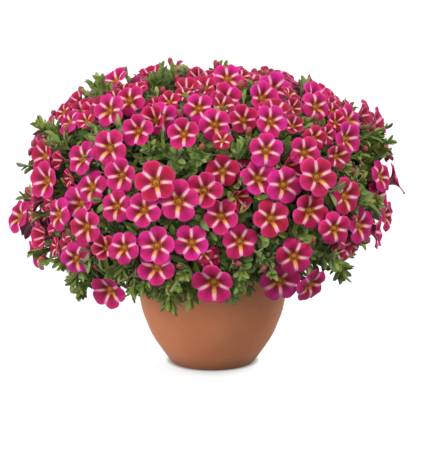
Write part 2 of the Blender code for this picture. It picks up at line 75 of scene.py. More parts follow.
# The mound that the blooms lie on, as in the solids
MOUND_MIDDLE = Vector((0, 0, 0.118))
MOUND_RADIUS = 0.148
MOUND_RISE = 0.117
SKIRT_DROP = 0.037
SKIRT_SWAY = 0.013
BOXINESS = 2.9
CLUMP_DEPTH = 0.012
CLUMP_SCALE = 22.0
TUCK_DEPTH = 0.015
LOW_DOWN = 0.1
EYE = MOUND_MIDDLE - BACK * VIEW_DISTANCE
SIGHT_SPAN = 0.2
SIGHT_STEP = 0.001

# Pot and potting mix, as (radius, height) points
POT_SIDES = 128
POT_OUTSIDE = (
    (0.0, 0.0010), (0.0300, 0.0010), (0.0318, 0.0), (0.0334, 0.0), (0.0346, 0.0012), (0.0385, 0.0068),
    (0.0428, 0.0130), (0.0461, 0.0180), (0.0490, 0.0230), (0.0513, 0.0280), (0.0532, 0.0330),
    (0.0552, 0.0380), (0.0568, 0.0430), (0.0588, 0.0530), (0.0603, 0.0640), (0.0614, 0.0770),
    (0.0622, 0.0870), (0.0624, 0.0895),
)
POT_RIM = ((0.0621, 0.0910), (0.0612, 0.0919), (0.0602, 0.0920), (0.0592, 0.0916), (0.0586, 0.0905))
POT_INSIDE = (
    (0.0576, 0.0800), (0.0560, 0.0640), (0.0535, 0.0500), (0.0500, 0.0360), (0.0455, 0.0250),
    (0.0400, 0.0160), (0.0300, 0.0060), (0.0, 0.0060),
)
DRAIN_HOLES = 4
DRAIN_RADIUS = 0.0040
DRAIN_FROM_AXIS = 0.0190
DRILL_SIDES = 24
DRILL_LENGTH = 0.03
MIX_LEVEL = 0.0840
MIX_EDGE = 0.0578
MIX_BELOW = ((0.0560, 0.064), (0.0496, 0.036), (0.0297, 0.0064), (0.0, 0.0064))
MIX_RINGS = 22
MIX_SIDES = 72
# Lumps on the mix: (height, how many to a metre)
CRUMBS = ((0.0022, 160), (0.0012, 420))

# Where the photograph shows blooms, and patches that are all leaves, in its pixels
BLOOMS_SEEN = (
    (138, 82), (129, 100), (109, 111), (114, 78), (83, 95), (68, 121), (138, 131), (161, 118),
    (184, 135), (199, 108), (186, 68), (199, 86), (107, 149), (81, 158), (41, 156), (45, 181),
    (83, 183), (71, 200), (121, 176), (156, 183), (114, 206), (144, 211), (178, 201), (203, 191),
    (222, 171), (192, 244), (86, 228), (35, 216), (18, 216), (30, 236), (57, 215), (36, 254),
    (76, 260), (124, 249), (157, 247), (154, 268), (109, 292), (214, 285), (226, 98), (215, 125),
    (244, 119), (208, 74), (228, 78), (272, 122), (267, 151), (306, 153), (348, 139), (261, 178),
    (286, 186), (318, 178), (347, 197), (384, 176), (385, 196), (221, 217), (273, 219), (313, 213),
    (335, 230), (362, 226), (240, 243), (295, 258), (281, 284), (313, 287),
)
LEAFY_PATCHES = (
    (150, 160), (178, 160), (205, 152), (240, 150), (170, 225), (200, 222), (300, 238), (240, 272),
    (190, 272), (265, 262), (360, 170), (368, 205), (60, 140), (325, 250), (290, 210), (45, 130),
    (375, 138), (392, 152), (95, 82), (160, 72), (262, 205), (128, 158), (330, 195),
)
PATCH_RADIUS = 18
# Long shoots that stand out past the blooms, by their tips in the photograph
LONG_SHOOTS = (
    (38, 127), (42, 134), (47, 122), (398, 155), (382, 141), (372, 132), (392, 226), (16, 205),
    (100, 93), (108, 88), (165, 77), (236, 77), (88, 101), (81, 286), (165, 296), (190, 296),
    (232, 290), (338, 262), (344, 272), (140, 288), (64, 262),
)
SHOOTS_TO_A_TIP = 3

# Blooms, as (radius, height) points in shares of a bloom's radius
LOBES = 5
STEPS = 40
SECTION = (
    (0.050, -0.98), (0.090, -0.86), (0.110, -0.50), (0.165, -0.25), (0.260, -0.135),
    (0.420, -0.065), (0.600, -0.025), (0.790, -0.005), (0.920, 0.0), (1.0, 0.0),
)
YOUNG_STEPS = 30
YOUNG_SECTION = (
    (0.060, -0.98), (0.110, -0.55), (0.180, -0.22), (0.400, -0.07), (0.720, -0.01), (1.0, 0.0),
)
# Forms of bloom: how far it cups, how much it ruffles, how far its edge curls back and how its lobes dent
BLOOM_FORMS = (
    (0.00, 0.040, 0.05, 0.06), (0.06, 0.035, 0.00, 0.04), (-0.04, 0.050, 0.10, 0.08),
    (0.16, 0.035, 0.00, 0.05), (0.03, 0.060, 0.06, 0.03), (-0.02, 0.040, 0.20, 0.07),
    (0.10, 0.050, 0.14, 0.05), (0.24, 0.045, 0.04, 0.04),
)
YOUNG_FORMS = (
    (0.42, 0.04, 0.05, 0.05), (0.62, 0.05, 0.00, 0.04), (0.30, 0.06, 0.16, 0.05),
    (0.10, 0.05, 0.05, 0.05), (0.02, 0.05, 0.12, 0.06),
)
THROAT = 0.15
NOTCH = 0.69
LOBE_FULLNESS = 2.7
LOBE_SWELL = 0.075
LOBE_LIFT = 0.10
LOBE_LENGTHS = (0.90, 1.04)
DENT_WIDTH = 0.16
PETAL_THICKNESS = 0.024
HALO = 0.46
# The golden floor of the throat and the anthers on it: (towards the yellow arm, depth, width, height)
KNOB_SHAPES = ((0.0, 0.23, 0.38, 0.20), (0.05, 0.145, 0.12, 0.08))
# How far out on a petal the colour of each knob is found
KNOB_REACHES = (0.17, 0.03)

# How the blooms lie
BLOOM_SIZES = (0.88, 1.02)
YOUNG_RADIUS = 0.0115
YOUNG_SMALLEST = 0.0080
YOUNG_SITES = 1500
YOUNG_SPACING = 0.0144
YOUNG_FROM_OLD = 0.0160
YOUNG_FROM_POT = 0.085
YOUNG_LOWERED = 0.011
MOST_SHIFT = 0.016
SLIDE_STEPS = 60
SLIDE_STEP = 0.0005
SLIDE_COST = 0.0003
LAYER = 0.006
COVER_SHARE = 0.98
COVER_SEARCH = 0.030
DISC_SHARE = 0.97
THROAT_DEPTH = 0.32
PARTING_ROUNDS = 24
PARTING_STEP = 0.0012
PARTING_TURN = 0.12

# Cups, buds and stalks
CALYX_SECTION = ((0, 0), (0.13, 0.04), (0.21, 0.34), (0.34, 1.0), (0.17, 0.40), (0, 0.36))
CALYX_LENGTH = 0.0075
BUD_CALYX_SHARE = 0.45
BUD_SITES = 1100
BUD_SPACING = 0.024
BUD_LENGTHS = (0.0075, 0.0115)
BLOOM_STALK = (0.0008, 0.0006)
BUD_STALK = (0.0007, 0.0005)
SHOOT_STALK = (0.0010, 0.0005)
STEM_STALK = (0.0022, 0.0016)
STALK_STEPS = 5
STEM_STEPS = 10

# Leaves: (length, width) shares from root to tip, and each form's fold, droop and lifted tip
LEAF_ROWS = ((0.0, 0.10), (0.26, 0.62), (0.62, 1.0), (0.86, 0.66), (1.0, 0.0))
LEAF_THICKNESS = 0.035
LEAF_FORMS = {
    "leaf_flat": (0.14, 0.04, 0.2),
    "leaf_folded": (0.26, -0.10, 0.1),
    "leaf_arched": (0.10, 0.22, 0.3),
}
LEAF_SPIRAL = math.radians(137.5)
LEAVES_ON_SHOOT = (11, 14)
FEWEST_OUTSIDE = 5
FEWEST_WITH_STALK = 4
SHOOT_SITES = 1250
SHOOT_LENGTH = 0.034
SHOOT_FROM_POT = 0.078
# Further left than this, no shoot starts lower than this
BARE_LEFT = -0.114
BARE_HEIGHT = 0.093
INNER_LEAVES = 3200
INNER_FROM_POT = 0.072
UNDER_BLOOM = -0.0045
HEART_INSET = 0.030

# The floor's shadow
CONTACT_REACH = 0.0038
SHADOW_STRETCH = 1.15
SHADOW_FORWARD = 0.009
SHADOW_EDGES = (0.056, 0.026)
SHADOW_DEPTH = 0.34

# Lamps: name, place, aim, size and power
LAMPS = (
    ("key", (-1.9, -1.2, 0.65), (0, 0, 0.12), 1.4, 34),
    ("fill", (-0.2, -2.4, 0.8), (0, 0, 0.12), 1.5, 10),
    ("side", (2.0, -1.5, 2.1), (0, 0, 0.15), 1.0, 48),
    ("top", (0.2, 0.2, 2.6), (0, 0, 0), 1.6, 8),
    ("back", (0.5, 2.4, 1.0), (0, 0, 0.12), 1.6, 30),
)
SKY_EDGES = (-0.35, 0.25)
SKY_LIGHT = (0.07, 0.58)


# Places on the mound and in the picture


def smooth(low, high, value):
    """0 below low and 1 above high, with a smooth rise between."""
    share = min(max((value - low) / (high - low), 0), 1)
    return share * share * (3 - 2 * share)


def mound_share(point):
    """1 on the mound's surface, and in proportion to the distance from its middle elsewhere."""
    sway = SKIRT_SWAY * (1 - math.cos(math.atan2(point.y, point.x))) / 2
    upright = MOUND_RISE if point.z >= MOUND_MIDDLE.z else SKIRT_DROP + sway
    level = (math.hypot(point.x, point.y) / MOUND_RADIUS) ** BOXINESS
    level += (abs(point.z - MOUND_MIDDLE.z) / upright) ** BOXINESS
    return level ** (1 / BOXINESS)


def onto_mound(point):
    return MOUND_MIDDLE + (point - MOUND_MIDDLE) / mound_share(point)


def mound_normal(point):
    step = 1e-4
    steps = (RIGHT * step, AWAY * step, UP * step)
    return Vector([mound_share(point + way) - mound_share(point - way) for way in steps]).normalized()


def clump(site):
    """How far the plant bulges out here, or dips: it grows in clumps, and less wide low down at +X."""
    tuck = TUCK_DEPTH * smooth(0.09, 0.135, site.x) * smooth(0.155, 0.120, site.z)
    return CLUMP_DEPTH * noise.noise(site * CLUMP_SCALE) - tuck


def beside_pot(site, distance):
    return math.hypot(site.x, site.y) < distance and site.z < LOW_DOWN


def even_directions(count):
    """Directions spread evenly over a sphere by the golden angle, from the top down."""
    golden = math.pi * (3 - math.sqrt(5))
    for i in range(count):
        height = 1 - 2 * (i + 0.5) / count
        radius = math.sqrt(1 - height * height)
        yield Vector((radius * math.cos(golden * i), radius * math.sin(golden * i), height))


def jitter(draw):
    return Vector([draw.uniform(-1, 1) for _ in range(3)])


def scattered_sites(count, spread, draw):
    """(site, outward direction) of places spread over the mound, each drawn a little aside."""
    for direction in even_directions(count):
        site = onto_mound(MOUND_MIDDLE + direction + jitter(draw) * spread)
        yield site, mound_normal(site)


def seen_point(pixel):
    """Where the line of sight through a pixel meets the mound, or comes nearest to it."""
    across = (pixel[0] - PICTURE_AXIS) * PIXEL
    rise = (PICTURE_GROUND - pixel[1]) * PIXEL - MOUND_MIDDLE.dot(PICTURE_UP)
    sight = (MOUND_MIDDLE + RIGHT * across + PICTURE_UP * rise - EYE).normalized()
    nearest, point = math.inf, None
    for step in range(round(2 * SIGHT_SPAN / SIGHT_STEP)):
        tried = EYE + sight * (VIEW_DISTANCE - SIGHT_SPAN + SIGHT_STEP * step)
        share = mound_share(tried)
        if share < nearest:
            nearest, point = share, tried
        if share <= 1:
            break
    return point


def pixel_of(point):
    sight = point - EYE
    scale = VIEW_DISTANCE / sight.dot(BACK) / PIXEL
    across, rise = sight.dot(RIGHT) * scale, sight.dot(PICTURE_UP) * scale
    return across + PICTURE_AXIS, PICTURE_GROUND - rise - MOUND_MIDDLE.dot(PICTURE_UP) / PIXEL


def in_leafy_patch(site, outward):
    """Whether the viewer sees this place among the leaves of a patch."""
    if outward.dot(BACK) > -0.1:
        return False
    x, y = pixel_of(site)
    return any(math.hypot(x - patch[0], y - patch[1]) < PATCH_RADIUS for patch in LEAFY_PATCHES)


# Shader nodes


def connect(value, socket):
    """Links a socket to another node's result, or sets it to a plain value."""
    if isinstance(value, bpy.types.NodeSocket):
        socket.id_data.links.new(value, socket)
    else:
        socket.default_value = value


def node(tree, kind, inputs=None, **settings):
    made = tree.nodes.new("ShaderNode" + kind)
    for name, value in settings.items():
        setattr(made, name, value)
    for name, value in (inputs or {}).items():
        connect(value, made.inputs[name])
    return made


def worked(operation, *values):
    """The result of a Math node, in the tree that its values come from."""
    tree = next(value.id_data for value in values if isinstance(value, bpy.types.NodeSocket))
    return node(tree, "Math", dict(enumerate(values)), operation=operation).outputs[0]


def plus(first, second):
    return worked("ADD", first, second)


def minus(first, second):
    return worked("SUBTRACT", first, second)


def times(first, second):
    return worked("MULTIPLY", first, second)


def length_of(across, along):
    return worked("SQRT", plus(times(across, across), times(along, along)))


def fade(value, low, high, start=0.0, end=1.0):
    """A smooth step from start to end as the value goes from low to high."""
    inputs = {"Value": value, "From Min": low, "From Max": high, "To Min": start, "To Max": end}
    return node(value.id_data, "MapRange", inputs, interpolation_type="SMOOTHSTEP").outputs["Result"]


def layered(colour, *layers):
    """Lays colours over the first: (value, where none shows, where most shows, how much, colour)."""
    for value, none, most, share, over in layers:
        inputs = {0: fade(value, none, most, 0.0, share), 6: colour, 7: over}
        colour = node(value.id_data, "Mix", inputs, data_type="RGBA").outputs[2]
    return colour


def position(tree):
    """The three parts of the piece's own coordinates."""
    return node(tree, "SeparateXYZ", {0: node(tree, "TexCoord").outputs["Object"]}).outputs


def grain(tree, scale, detail=2.0, roughness=0.5, where=None):
    """Noise over the piece's own coordinates."""
    where = where or node(tree, "TexCoord").outputs["Object"]
    inputs = {"Vector": where, "Scale": scale, "Detail": detail, "Roughness": roughness}
    return node(tree, "TexNoise", inputs).outputs["Fac"]


def bumped(height, strength, distance):
    inputs = {"Height": height, "Strength": strength, "Distance": distance}
    return node(height.id_data, "Bump", inputs).outputs["Normal"]


def place_of(tree):
    """The parts of the place that each vertex carries: two of position and one of tint."""
    attribute = node(tree, "Attribute", attribute_name="place")
    return node(tree, "SeparateXYZ", {0: attribute.outputs["Vector"]}).outputs


def star(tree):
    """(reach from the bloom's middle, distance from the nearest arm, 1 at the yellow arm, tint, turn)."""
    across, along, tint = place_of(tree)
    reach = length_of(across, along)
    turn = times(worked("ARCTAN2", along, across), LOBES / math.tau)
    nearest = worked("ROUND", turn)
    off = worked("ABSOLUTE", minus(turn, nearest))
    off_arm = times(off, times(reach, math.tau / LOBES))
    yellow_arm = worked("LESS_THAN", worked("ABSOLUTE", nearest), 0.5)
    return reach, off_arm, yellow_arm, tint, turn


def veins(turn, reach, tint, count):
    """Noise drawn out along the petals into fine veins."""
    where = node(turn.id_data, "CombineXYZ", {0: times(turn, count), 1: reach, 2: tint})
    return grain(turn.id_data, 1.0, 1.0, where=where.outputs[0])


# Colours


def rgb(red, green, blue):
    """A linear colour from one that is read off a screen in 0 to 255."""
    return (*[((value / 255 + 0.055) / 1.055) ** 2.4 for value in (red, green, blue)], 1)


MAGENTA = rgb(210, 24, 144)
HOT_PINK = rgb(200, 16, 108)
CRIMSON = rgb(180, 14, 54)
BRICK = rgb(146, 36, 52)
WINE = rgb(116, 4, 32)
VEIN_WINE = rgb(140, 8, 60)
# Painted highlight: the paler pink of the petals' rims
RIM_HIGHLIGHT_PINK = rgb(236, 84, 168)
HALO_PINK = rgb(230, 92, 156)
ARM_BLUSH = rgb(236, 182, 194)
ARM_LILAC = rgb(228, 144, 186)
ARM_PEACH = rgb(238, 184, 144)
ARM_YELLOW = rgb(214, 150, 52)
GOLD = rgb(190, 122, 38)
DEEP_GOLD = rgb(160, 98, 34)
THROAT_OLIVE = rgb(136, 98, 38)
BACK_PINK = rgb(218, 96, 152)
BACK_ROSE = rgb(204, 76, 112)
BACK_ARM = rgb(244, 206, 204)
BACK_VEIN = rgb(150, 40, 80)
TUBE_TAN = rgb(206, 150, 116)
BUD_ROSE = rgb(150, 40, 70)
BUD_TAN = rgb(150, 84, 60)
BUD_TIP = rgb(190, 98, 102)
BUD_FOLD = rgb(140, 50, 60)
LEAF_GREEN = rgb(96, 130, 44)
LEAF_LIME = rgb(136, 154, 54)
LEAF_PALE = rgb(160, 166, 84)
LEAF_DULL = rgb(86, 118, 48)
LEAF_DARK = rgb(60, 80, 34)
LEAF_RIB = rgb(150, 160, 100)
STEM_GREEN = rgb(126, 132, 74)
STEM_TAN = rgb(146, 120, 84)
# Painted shade: the near-black of the plant's shaded heart
TWIG_SHADE_DARK = rgb(26, 30, 14)
TWIG_SHADE_BROWN = rgb(56, 56, 26)
CLAY = rgb(208, 124, 79)
CLAY_LIGHT = rgb(217, 134, 87)
CLAY_SPECK = rgb(162, 90, 58)
CLAY_DUST = rgb(222, 168, 138)
# Painted shade: the clay darker towards the pot's bottom and foot
CLAY_LOW_SHADE = rgb(150, 78, 44)
CLAY_FOOT_SHADE = rgb(86, 44, 26)
PEAT_DARK = rgb(34, 26, 20)
PEAT_BROWN = rgb(84, 62, 44)


# Materials: where a colour starts and ends on a bloom is in shares of its radius


def petal_face(tree):
    """Hot pink lobes with pale arms between them, golden towards the throat."""
    reach, off_arm, yellow_arm, tint, turn = star(tree)
    off_arm = plus(off_arm, times(minus(grain(tree, 420.0), 0.5), 0.05))
    shade = plus(tint, times(minus(grain(tree, 75.0, 1.0), 0.5), 1.5))
    veined = veins(turn, reach, tint, 14.0)
    lobe = layered(
        MAGENTA,
        (shade, -0.30, 0.15, 1.0, HOT_PINK),
        (shade, 0.15, 0.95, 1.0, CRIMSON),
        (tint, 1.0, 1.7, 1.0, BRICK),
        (minus(reach, times(off_arm, 0.45)), 0.72, 0.20, 1.0, WINE),
        (veined, 0.45, 0.75, 0.35, VEIN_WINE),
        # Painted highlight: a paler pink band round the rim of every lobe
        (reach, 0.80, 1.02, 0.34, RIM_HIGHLIGHT_PINK),
        (off_arm, 0.17, 0.04, HALO, HALO_PINK),
    )
    arm = layered(
        ARM_BLUSH,
        (reach, 0.55, 0.98, 1.0, ARM_LILAC),
        (minus(plus(0.46, times(yellow_arm, 0.18)), reach), -0.14, 0.14, 1.0, ARM_PEACH),
        (minus(plus(0.33, times(yellow_arm, 0.20)), reach), -0.12, 0.12, 1.0, ARM_YELLOW),
    )
    width = times(fade(reach, 0.08, 0.45), 0.072)
    width = plus(0.012, times(width, fade(reach, 1.05, 0.70, 0.60, 1.0)))
    width = times(width, plus(0.86, times(yellow_arm, 0.34)))
    star_edge = minus(fade(off_arm, 0.0, 0.14, 0.34, 0.20), reach)
    gold = layered(GOLD, (reach, 0.23, 0.12, 1.0, DEEP_GOLD))
    colour = layered(
        lobe,
        (minus(width, off_arm), -0.030, 0.030, 1.0, arm),
        (star_edge, -0.03, 0.04, 1.0, gold),
        (reach, 0.12, 0.07, 1.0, THROAT_OLIVE),
    )
    relief = bumped(veined, 0.35, 0.0004)
    return {"Base Color": colour, "Roughness": 0.65, "Specular IOR Level": 0.2, "Normal": relief}


def petal_back(tree):
    """The paler underside of the petals, and the tube."""
    reach, off_arm, _, tint, turn = star(tree)
    colour = layered(
        BACK_PINK,
        (tint, 0.1, 1.0, 1.0, BACK_ROSE),
        (off_arm, 0.10, 0.02, 0.55, BACK_ARM),
        (reach, 0.30, 0.12, 1.0, TUBE_TAN),
        (veins(turn, reach, tint, 10.0), 0.5, 0.75, 0.4, BACK_VEIN),
    )
    return {"Base Color": colour, "Roughness": 0.65, "Specular IOR Level": 0.25}


def bud_skin(tree):
    """Rosy buds, tan or rosy at the tip and darker along their folds."""
    _, along, tint = place_of(tree)
    colour = layered(
        BUD_ROSE,
        (tint, 0.2, 0.9, 1.0, BUD_TAN),
        (along, 0.6, 1.0, 0.4, BUD_TIP),
        (grain(tree, 900.0), 0.45, 0.65, 0.5, BUD_FOLD),
    )
    return {"Base Color": colour, "Roughness": 0.65, "Specular IOR Level": 0.3}


def leaf_skin(tree):
    """Small downy leaves: green that differs from leaf to leaf, a paler midrib and a dull sheen."""
    across, _, tint = place_of(tree)
    colour = layered(
        LEAF_GREEN,
        (tint, 0.0, 0.55, 1.0, LEAF_LIME),
        (tint, 0.6, 1.0, 1.0, LEAF_PALE),
        (grain(tree, 26.0, 1.0), 0.4, 0.62, 0.6, LEAF_DULL),
        (grain(tree, 700.0), 0.4, 0.7, 0.3, LEAF_DARK),
        (worked("ABSOLUTE", across), 0.22, 0.05, 0.35, LEAF_RIB),
    )
    return {
        "Base Color": colour, "Roughness": 0.5, "Sheen Weight": 0.15, "Specular IOR Level": 0.4,
        "Normal": bumped(grain(tree, 900.0), 0.3, 0.0004),
    }


def stem_skin(tree):
    """Thin stems, pale green turning to tan."""
    colour = layered(STEM_GREEN, (grain(tree, 60.0), 0.4, 0.6, 1.0, STEM_TAN))
    return {"Base Color": colour, "Roughness": 0.6, "Normal": bumped(grain(tree, 1500.0), 0.3, 0.0003)}


def shade_skin(tree):
    """The twigs and old leaves in the heart of the plant, painted near-black as the shade deep inside it."""
    # Painted shade: near-black colour in place of the shade inside the plant
    colour = layered(TWIG_SHADE_DARK, (grain(tree, 160.0, 3.0), 0.4, 0.65, 1.0, TWIG_SHADE_BROWN))
    return {"Base Color": colour, "Roughness": 0.9, "Normal": bumped(grain(tree, 220.0, 3.0), 0.9, 0.004)}


def terracotta(tree):
    """Smooth terracotta-coloured clay: faint clouding, fine grain, pale dust, and painted shade that darkens
    it towards the foot.
    """
    cloud = grain(tree, 22.0, 4.0, 0.6)
    speck = grain(tree, 900.0, 2.0, 0.7)
    height = position(tree)[2]
    colour = layered(
        CLAY,
        (cloud, 0.35, 0.68, 1.0, CLAY_LIGHT),
        (speck, 0.58, 0.74, 0.35, CLAY_SPECK),
        (grain(tree, 340.0, 3.0), 0.6, 0.8, 0.25, CLAY_DUST),
        # Painted shade: darker towards the bottom, and most at the foot by the floor
        (height, 0.060, 0.010, 0.20, CLAY_LOW_SHADE),
        (height, 0.014, 0.001, 0.45, CLAY_FOOT_SHADE),
    )
    return {
        "Base Color": colour, "Roughness": fade(cloud, 0.3, 0.7, 0.52, 0.66),
        "Specular IOR Level": 0.4, "Normal": bumped(speck, 0.25, 0.0004),
    }


def peat(tree):
    """Dark moist potting mix."""
    crumb = grain(tree, 420.0, 5.0, 0.7)
    colour = layered(PEAT_DARK, (crumb, 0.35, 0.7, 1.0, PEAT_BROWN))
    return {"Base Color": colour, "Roughness": 0.95, "Normal": bumped(crumb, 0.9, 0.003)}


def floor_paint(tree):
    """A floor as pale as the backdrop, with the pot's soft shadow, mostly in front of its foot."""
    open_sky = node(tree, "AmbientOcclusion", {"Distance": CONTACT_REACH}, samples=12).outputs["AO"]
    across, along, _ = position(tree)
    from_foot = length_of(times(across, SHADOW_STRETCH), plus(along, SHADOW_FORWARD))
    near = fade(from_foot, *SHADOW_EDGES)
    shadow = times(times(near, near), SHADOW_DEPTH)
    light = times(fade(open_sky, 0.30, 1.0, 0.30, 0.88), minus(1.0, shadow))
    return {
        "Base Color": (0.2, 0.2, 0.2, 1), "Roughness": 0.9, "Specular IOR Level": 0.1,
        "Emission Color": (1, 1, 1, 1), "Emission Strength": light,
    }


def finish(paint):
    """A material whose paint function sets its Principled shader's inputs."""
    material = bpy.data.materials.new(paint.__name__)
    material.use_nodes = True
    shader = material.node_tree.nodes["Principled BSDF"]
    for socket, value in paint(material.node_tree).items():
        connect(value, shader.inputs[socket])
    return material


PETAL_FACE = finish(petal_face)
PETAL_BACK = finish(petal_back)
BUD_SKIN = finish(bud_skin)
LEAF_SKIN = finish(leaf_skin)
STEM_SKIN = finish(stem_skin)
SHADE_SKIN = finish(shade_skin)
TERRACOTTA = finish(terracotta)
PEAT = finish(peat)
FLOOR_PAINT = finish(floor_paint)
# The materials of a spray and of a stem with its shoots, by the numbers that their faces carry
SPRAY_SKINS = [PETAL_FACE, PETAL_BACK, STEM_SKIN, BUD_SKIN]
IS_BACK, IS_STEM, IS_BUD = 1, 2, 3
SHOOT_SKINS = [LEAF_SKIN, STEM_SKIN]
IS_TWIG = 1


# Making pieces


def new_piece(name, bm, materials, slot=None, replaced=()):
    """An object of the scene from a mesh, riding on the plant's one body."""
    mesh = bpy.data.meshes.new(name)
    bm.to_mesh(mesh)
    bm.free()
    for material in materials:
        mesh.materials.append(material)
    piece = bpy.data.objects.new(name, mesh)
    bpy.context.scene.collection.objects.link(piece)
    if slot:
        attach(piece, "root")
        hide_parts(*replaced)
    return piece


def place_layer(bm):
    return bm.verts.layers.float_vector.get("place") or bm.verts.layers.float_vector.new("place")


def shade_smooth(bm):
    for face in bm.faces:
        face.smooth = True


def evaluated_mesh(thing):
    """A mesh of the object with its modifiers or its bevel done."""
    bpy.context.view_layer.update()
    return bpy.data.meshes.new_from_object(thing.evaluated_get(bpy.context.evaluated_depsgraph_get()))


def pattern_mesh(bm, name, material=0):
    """A pattern that is copied many times: its faces smooth, its normals out, its mesh kept."""
    bmesh.ops.recalc_face_normals(bm, faces=bm.faces)
    shade_smooth(bm)
    for face in bm.faces:
        face.material_index = max(face.material_index, material)
    mesh = bpy.data.meshes.new(name)
    bm.to_mesh(mesh)
    bm.free()
    return mesh


def plant_copy(bm, pattern, matrix, tint):
    """Adds a copy of a pattern to a mesh in the making, in its place and with its own tint."""
    copy = pattern.copy()
    for value in copy.attributes["place"].data:
        value.vector = (value.vector[0], value.vector[1], tint)
    copy.transform(matrix)
    bm.from_mesh(copy)
    bpy.data.meshes.remove(copy)


def lathe(bm, profile, steps):
    """Turns (radius, height) points about +Z."""
    verts = [bm.verts.new((radius, 0, height)) for radius, height in profile]
    edges = [bm.edges.new(pair) for pair in zip(verts, verts[1:])]
    geometry = verts + edges
    bmesh.ops.spin(bm, geom=geometry, cent=(0, 0, 0), axis=UP, angle=math.tau, steps=steps, use_merge=True)
    bmesh.ops.remove_doubles(bm, verts=bm.verts, dist=CLOSE)
    bmesh.ops.recalc_face_normals(bm, faces=bm.faces)


def frame_of(origin, direction, face, scale):
    """A matrix whose Z runs along a direction and whose Y looks towards a face."""
    along = direction.normalized()
    side = face.cross(along).normalized()
    up = along.cross(side)
    turn = Matrix((side, up, along)).transposed().to_4x4()
    return Matrix.Translation(origin) @ turn @ Matrix.Diagonal((*scale, 1))


# Patterns for leaves, blooms and buds


def leaf_pattern(name, fold, curl, tip):
    """One small leaf along +Z, 1 long and 1 wide, folded up along its midrib: a thin closed blade."""
    bm = bmesh.new()
    bmesh.ops.create_uvsphere(bm, u_segments=4, v_segments=4, radius=0.5)
    layer = place_layer(bm)
    for vertex in bm.verts:
        rise = max(-1, min(1, -vertex.co.z / 0.5))
        length, width = LEAF_ROWS[round(math.degrees(math.acos(rise)) / 45)]
        flat = math.hypot(vertex.co.x, vertex.co.y)
        edge = vertex.co.x / flat if flat > CLOSE else 0.0
        level = vertex.co.y / flat if flat > CLOSE else 0.0
        height = abs(edge) * fold * width - curl * length * length + level * LEAF_THICKNESS
        if length == 1:
            height += fold * tip
        vertex[layer] = (edge, length, 0)
        vertex.co = Vector((edge * width / 2, height, length))
    for edge in bm.edges:
        edge.smooth = any(abs(vertex.co.x) < 0.01 and 0 < vertex.co.z < 1 for vertex in edge.verts)
    return pattern_mesh(bm, name)


def lobe_share(turn):
    """0 on an arm of the star and 1 in the middle of a lobe."""
    phase = (turn * LOBES / math.tau) % 1
    return 1 - abs(2 * phase - 1)


def bloom_pattern(name, section, steps, form, draw):
    """One corolla with its tube, facing +Z, with an arm of its star along +X: radius 1."""
    cup, ruffle, curl, dent = form
    bm = bmesh.new()
    lathe(bm, section, steps)
    layer = place_layer(bm)
    lengths = [draw.uniform(*LOBE_LENGTHS) for _ in range(LOBES)]
    lifts = [draw.uniform(-LOBE_LIFT, LOBE_LIFT) for _ in range(LOBES)]
    phase = draw.uniform(0, math.tau)
    wave = draw.choice((7, 8, 9))
    for vertex in bm.verts:
        reach = math.hypot(vertex.co.x, vertex.co.y)
        turn = math.atan2(vertex.co.y, vertex.co.x)
        lobe = lobe_share(turn)
        limb = max((reach - THROAT) / (1 - THROAT), 0)
        out = 1 - (1 - lobe) ** LOBE_FULLNESS
        out -= dent * math.exp(-(((1 - lobe) / DENT_WIDTH) ** 2))
        number = int((turn % math.tau) * LOBES / math.tau) % LOBES
        length = NOTCH + (lengths[number] - NOTCH) * out
        far = THROAT + (reach - THROAT) * length if limb > 0 else reach
        rise = vertex.co.z + cup * limb ** 1.5 - curl * limb ** 4 * (0.4 + 0.6 * lobe)
        rise += LOBE_SWELL * math.sin(math.pi * limb) * out + lifts[number] * limb ** 2 * out
        rise += ruffle * limb ** 3 * math.sin(wave * turn + phase)
        vertex[layer] = (reach * math.cos(turn), reach * math.sin(turn), 0)
        vertex.co = Vector((far * math.cos(turn), far * math.sin(turn), rise))
    for face in bm.faces:
        face.normal_update()
    outermost = max(bm.faces, key=lambda face: math.hypot(*face.calc_center_median()[:2]))
    if outermost.normal.z < 0:
        bmesh.ops.reverse_faces(bm, faces=bm.faces)
    shell = bmesh.ops.solidify(bm, geom=bm.faces[:], thickness=PETAL_THICKNESS)["geom"]
    backs = set(face for face in shell if isinstance(face, bmesh.types.BMFace))
    for face in bm.faces:
        face.material_index = IS_BACK if face in backs else 0
    return pattern_mesh(bm, name)


def calyx_pattern():
    """The green cup of five pointed sepals that a tube sits in, along +Z from the stalk's end, 1 long."""
    bm = bmesh.new()
    lathe(bm, CALYX_SECTION, 2 * LOBES)
    place_layer(bm)
    for vertex in bm.verts:
        turn = math.atan2(vertex.co.y, vertex.co.x)
        if vertex.co.z > 0.9 and lobe_share(turn) > 0.5:
            vertex.co = Vector((vertex.co.x * 0.7, vertex.co.y * 0.7, 0.5))
    return pattern_mesh(bm, "calyx", IS_STEM)


def bud_pattern():
    """A closed bud along +Z, 1 long, a slim tube that swells into a pleated tip."""
    bm = bmesh.new()
    layer = place_layer(bm)
    bmesh.ops.create_uvsphere(bm, u_segments=8, v_segments=6, radius=0.5)
    for vertex in bm.verts:
        length = vertex.co.z + 0.5
        swell = 0.12 + 0.15 * smooth(0.25, 0.75, length)
        turn = math.atan2(vertex.co.y, vertex.co.x)
        wide = 2 * swell * (1 + 0.18 * math.cos(4 * turn) * length)
        vertex[layer] = (math.cos(turn), length, 0)
        vertex.co = Vector((vertex.co.x * wide, vertex.co.y * wide, length))
    return pattern_mesh(bm, "bud", IS_BUD)


def knob_pattern(reach):
    """A knob 1 across, in the colour that the petals have at this reach from the bloom's middle."""
    bm = bmesh.new()
    layer = place_layer(bm)
    bmesh.ops.create_uvsphere(bm, u_segments=6, v_segments=4, radius=0.5)
    for vertex in bm.verts:
        vertex[layer] = (reach, reach / 4, 0)
    return pattern_mesh(bm, "knob")


